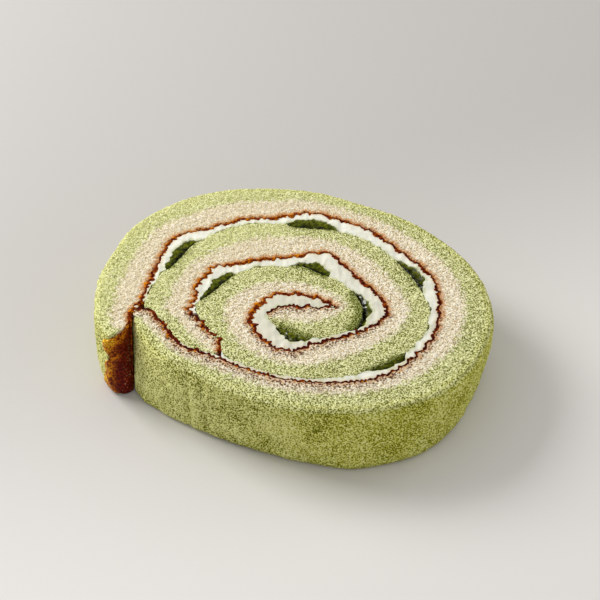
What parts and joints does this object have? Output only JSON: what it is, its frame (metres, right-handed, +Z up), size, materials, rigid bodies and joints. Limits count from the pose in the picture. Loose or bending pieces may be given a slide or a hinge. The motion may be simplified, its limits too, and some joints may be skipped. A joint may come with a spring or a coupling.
{
  "type": "grape roll cake slice",
  "caption": "Slice of roll cake lying on its cut face: two rolled sheets of green and plain sponge with browned inner skins, cream between the wraps and sticks of green grape jelly.",
  "frame": {"origin": "middle of the box round the slice, on its underside, which is a cut face", "axes": "+Z up through the slice from one cut face to the other, +X to the right along the slice's longest side, +Y to its back; the flap of the outer sheet ends at the front left"},
  "size_m": [0.1013, 0.0863, 0.02],
  "materials": {
    "green_sponge": "soft open crumb, light green",
    "plain_sponge": "soft open crumb, pale cream yellow, browned skin on its inner side",
    "cream": "smooth whipped cream, soft satin",
    "grape_jelly": "wet, glossy, dark green jelly"
  },
  "bodies": {
    "root": {"outer_green_sponge": "green_sponge", "outer_plain_sponge": "plain_sponge", "outer_cream": "cream", "inner_green_sponge": "green_sponge", "inner_plain_sponge": "plain_sponge", "inner_cream": "cream", "grape_jelly_1": "grape_jelly", "grape_jelly_2": "grape_jelly", "grape_jelly_3": "grape_jelly", "grape_jelly_4": "grape_jelly", "grape_jelly_5": "grape_jelly", "grape_jelly_6": "grape_jelly", "grape_jelly_7": "grape_jelly", "grape_jelly_8": "grape_jelly"}
  },
  "joints": []
}
